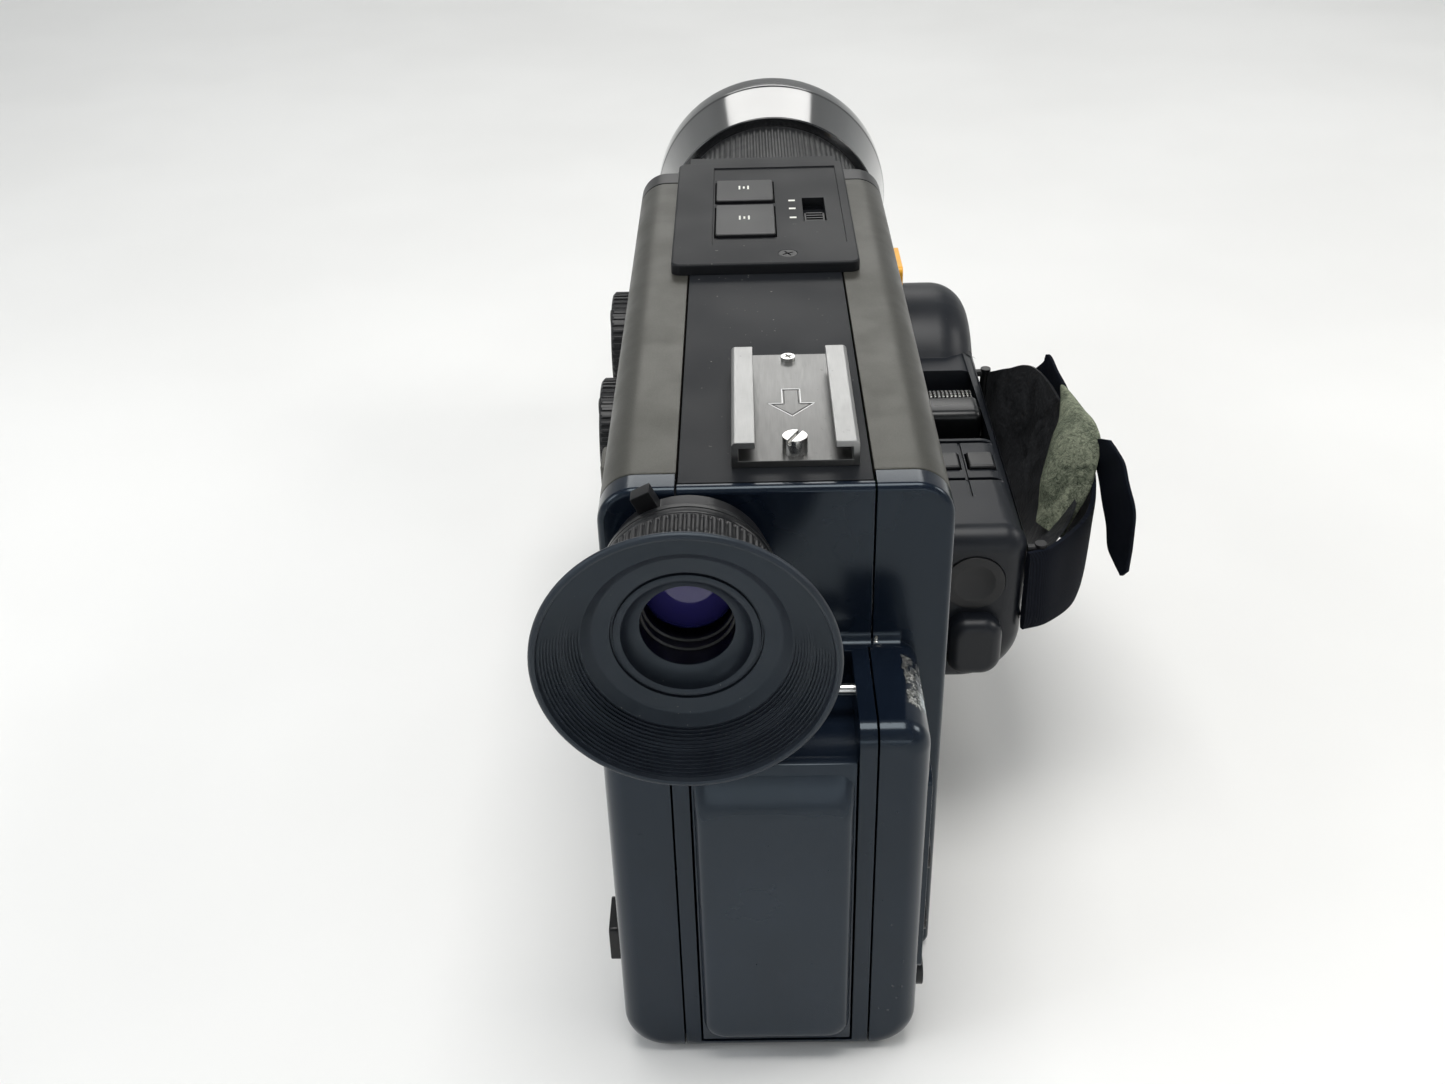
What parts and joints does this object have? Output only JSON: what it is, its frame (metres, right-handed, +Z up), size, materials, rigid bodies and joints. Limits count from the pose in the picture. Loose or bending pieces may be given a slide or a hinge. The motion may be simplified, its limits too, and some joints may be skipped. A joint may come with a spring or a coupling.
{
  "type": "cine camera",
  "caption": "Hand-held film camera with zoom lens, rubber eyecup, accessory shoe, zoom panel on top and a folding side grip with a hand strap.",
  "frame": {"origin": "mouth of the tripod socket, on the plane the camera stands on", "axes": "+X to the camera's right, +Y forward along the lens, +Z up"},
  "size_m": [0.1097, 0.2651, 0.1164],
  "materials": {
    "satin_black": "satin",
    "painted_shell": "satin metallic",
    "control_black": "matt",
    "rubber": "matt",
    "bright_metal": "brushed",
    "machined": "anodised",
    "gear_brass": "machined",
    "cell_jacket": "gloss",
    "film_plastic": "matt",
    "board": "gloss",
    "optical_glass": "coated",
    "orange_plastic": "gloss",
    "webbing": "woven"
  },
  "bodies": {
    "camera_body": {"left_shell": "painted_shell", "right_shell": "painted_shell", "base_plate": "satin_black", "front_panel": "satin_black", "top_strip": "satin_black", "control_panel": "satin_black", "rear_left_cover": "satin_black", "rear_right_cover": "satin_black", "rear_centre_frame": "satin_black", "strap_bar": "bright_metal", "battery_magazine": "control_black", "battery_cells": "cell_jacket", "finder_tube": "satin_black", "eyepiece_lens": "optical_glass", "eyecup": "rubber", "lens_tube": "machined", "rear_lens_group": "optical_glass", "accessory_shoe": "bright_metal", "shoe_stop_pin": "bright_metal", "film_cartridge": "film_plastic", "chassis": "machined", "film_gate": "control_black", "motor": "machined", "circuit_board": "board", "side_sockets": "satin_black", "tripod_bush": "bright_metal", "case_screws": "bright_metal", "grip_pivot": "machined"},
    "battery_door": {"battery_door": "satin_black"},
    "battery_latch": {"battery_latch": "satin_black"},
    "dioptre_ring": {"dioptre_ring": "control_black"},
    "eyepiece_lever": {"eyepiece_lever": "satin_black"},
    "zoom_ring": {"zoom_ring": "satin_black"},
    "focus_ring": {"focus_ring": "rubber", "front_barrel": "satin_black", "front_element": "optical_glass"},
    "wide_button": {"wide_button": "control_black"},
    "tele_button": {"tele_button": "control_black"},
    "mode_slider": {"mode_slider": "control_black"},
    "light_switch": {"light_switch": "orange_plastic"},
    "front_dial": {"front_dial": "control_black"},
    "rear_dial": {"rear_dial": "control_black"},
    "film_door": {"film_door": "painted_shell", "film_window": "optical_glass"},
    "film_latch": {"film_latch": "satin_black"},
    "claw": {"claw_arm": "machined"},
    "shutter": {"shutter_disc": "machined"},
    "drive_gear": {"drive_gear": "gear_brass"},
    "pinion": {"motor_pinion": "gear_brass"},
    "takeup": {"takeup_spindle": "machined"},
    "grip": {"grip_shell": "satin_black", "grip_cover": "satin_black", "strap_anchors": "satin_black", "hand_strap": "webbing"},
    "grip_wheel": {"grip_wheel": "bright_metal"},
    "zoom_rocker": {"zoom_rocker": "control_black"},
    "thumb_button": {"thumb_button": "control_black"},
    "grip_trigger": {"grip_trigger": "control_black"},
    "finger_button_inner": {"finger_button_inner": "control_black"},
    "finger_button_outer": {"finger_button_outer": "control_black"}
  },
  "joints": [
    {"name": "battery_door_swing", "type": "hinge", "parent": "camera_body", "child": "battery_door", "pos_m": [0, -0.0832, 0.0046], "axis": [1, 0, 0], "range_deg": [0, 80]},
    {"name": "battery_latch_slide", "type": "slide", "parent": "camera_body", "child": "battery_latch", "axis": [0, 0, 1], "range_m": [0, 0.0018], "stiffness_N_per_m": 300, "springref_m": -0.001},
    {"name": "dioptre_turn", "type": "hinge", "parent": "camera_body", "child": "dioptre_ring", "pos_m": [-0.0142, -0.0726, 0.0929], "axis": [0, 1, 0], "range_deg": [-60, 60]},
    {"name": "eyepiece_blind_turn", "type": "hinge", "parent": "camera_body", "child": "eyepiece_lever", "pos_m": [-0.0142, -0.0639, 0.0929], "axis": [0, 1, 0], "range_deg": [0, 50]},
    {"name": "zoom_ring_turn", "type": "hinge", "parent": "camera_body", "child": "zoom_ring", "pos_m": [0.0039, 0.106, 0.0712], "axis": [0, 1, 0], "range_deg": [-45, 45]},
    {"name": "focus_turn", "type": "hinge", "parent": "camera_body", "child": "focus_ring", "pos_m": [0.0039, 0.15, 0.0712], "axis": [0, 1, 0], "range_deg": [-150, 150]},
    {"name": "wide_button_press", "type": "slide", "parent": "camera_body", "child": "wide_button", "axis": [0, 0, -1], "range_m": [0, 0.0008], "stiffness_N_per_m": 400, "springref_m": -0.001},
    {"name": "tele_button_press", "type": "slide", "parent": "camera_body", "child": "tele_button", "axis": [0, 0, -1], "range_m": [0, 0.0008], "stiffness_N_per_m": 400, "springref_m": -0.001},
    {"name": "mode_slide", "type": "slide", "parent": "camera_body", "child": "mode_slider", "axis": [0, 1, 0], "range_m": [0, 0.007]},
    {"name": "light_switch_slide", "type": "slide", "parent": "camera_body", "child": "light_switch", "axis": [0, 1, 0], "range_m": [-0.004, 0.004]},
    {"name": "front_dial_turn", "type": "hinge", "parent": "camera_body", "child": "front_dial", "pos_m": [-0.033, 0.04, 0.084], "axis": [1, 0, 0], "range_deg": [-150, 150]},
    {"name": "rear_dial_turn", "type": "hinge", "parent": "camera_body", "child": "rear_dial", "pos_m": [-0.033, 0.0025, 0.0815], "axis": [1, 0, 0], "range_deg": [-150, 150]},
    {"name": "film_door_swing", "type": "hinge", "parent": "camera_body", "child": "film_door", "pos_m": [-0.0283, 0.0525, 0.036], "axis": [0, 0, -1], "range_deg": [0, 105]},
    {"name": "film_latch_slide", "type": "slide", "parent": "camera_body", "child": "film_latch", "axis": [0, -1, 0], "range_m": [0, 0.0024], "stiffness_N_per_m": 300, "springref_m": -0.001},
    {"name": "claw_stroke", "type": "slide", "parent": "camera_body", "child": "claw", "axis": [0, 0, 1], "range_m": [0, 0.0042]},
    {"name": "drive_spin", "type": "hinge", "parent": "camera_body", "child": "drive_gear", "pos_m": [0, 0.0635, 0.026], "axis": [0, 1, 0], "continuous": true},
    {"name": "shutter_spin", "type": "hinge", "parent": "camera_body", "child": "shutter", "pos_m": [0, 0.0635, 0.05], "axis": [0, 1, 0], "continuous": true},
    {"name": "pinion_spin", "type": "hinge", "parent": "camera_body", "child": "pinion", "pos_m": [0.0155, 0.0635, 0.03865], "axis": [0, 1, 0], "continuous": true},
    {"name": "takeup_spin", "type": "hinge", "parent": "camera_body", "child": "takeup", "pos_m": [0.02, 0.002, 0.04], "axis": [1, 0, 0], "continuous": true},
    {"name": "grip_fold", "type": "hinge", "parent": "camera_body", "child": "grip", "pos_m": [0.04, 0.074, 0.057], "axis": [1, 0, 0], "range_deg": [0, 90]},
    {"name": "grip_wheel_turn", "type": "hinge", "parent": "grip", "child": "grip_wheel", "pos_m": [0.04, 0.0404, 0.0656], "axis": [1, 0, 0], "range_deg": [-90, 90]},
    {"name": "rocker_tilt", "type": "hinge", "parent": "grip", "child": "zoom_rocker", "pos_m": [0.04, 0.031, 0.066], "axis": [1, 0, 0], "range_deg": [-5, 5], "stiffness_Nm_per_rad": 0.5},
    {"name": "thumb_button_press", "type": "slide", "parent": "grip", "child": "thumb_button", "axis": [0, 1, 0], "range_m": [0, 0.0015], "stiffness_N_per_m": 400, "springref_m": -0.001},
    {"name": "trigger_pull", "type": "slide", "parent": "grip", "child": "grip_trigger", "axis": [0, 0, 1], "range_m": [0, 0.004], "stiffness_N_per_m": 400, "springref_m": -0.001},
    {"name": "finger_inner_press", "type": "slide", "parent": "grip", "child": "finger_button_inner", "axis": [0, 0, -1], "range_m": [0, 0.0007], "stiffness_N_per_m": 400, "springref_m": -0.001},
    {"name": "finger_outer_press", "type": "slide", "parent": "grip", "child": "finger_button_outer", "axis": [0, 0, -1], "range_m": [0, 0.0007], "stiffness_N_per_m": 400, "springref_m": -0.001}
  ],
  "couplings": [
    {"joint": "shutter_spin", "follows": "drive_spin", "ratio": -2},
    {"joint": "pinion_spin", "follows": "drive_spin", "ratio": -4},
    {"joint": "takeup_spin", "follows": "drive_spin", "ratio": 0.1}
  ]
}
